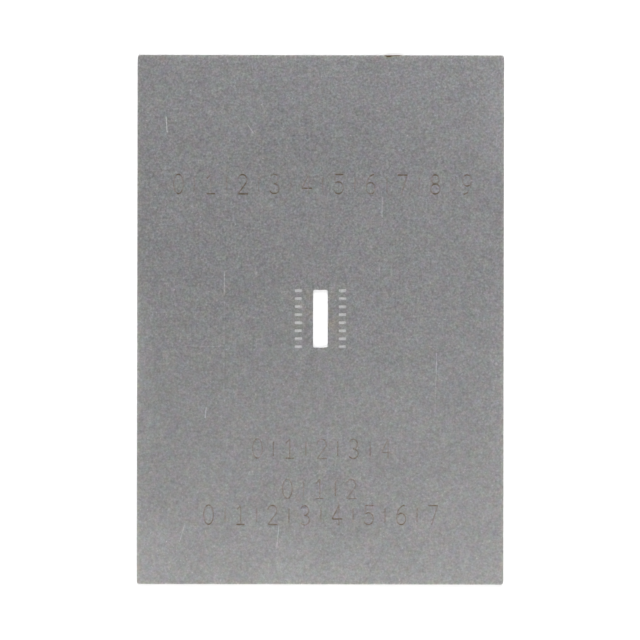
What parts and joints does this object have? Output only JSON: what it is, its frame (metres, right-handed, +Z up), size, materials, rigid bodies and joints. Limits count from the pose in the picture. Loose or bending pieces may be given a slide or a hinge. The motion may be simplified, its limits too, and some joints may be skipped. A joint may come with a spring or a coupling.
{
  "type": "solder paste stencil",
  "caption": "Thin flat rectangular stainless foil stencil with a slot between two rows of small openings, for printing solder paste on a circuit board.",
  "frame": {"origin": "middle of the board face, which is the sheet's underside", "axes": "+Z up from the board face to the squeegee face, +Y along the two rows of openings and the sheet's long side, +X across the rows"},
  "size_m": [0.0228, 0.033, 0.0001],
  "materials": {
    "stainless_foil": "matte rolled stainless with a fine even grain, faint rubs and straw heat tint along the cuts"
  },
  "bodies": {
    "root": {"stencil_sheet": "stainless_foil"}
  },
  "joints": []
}
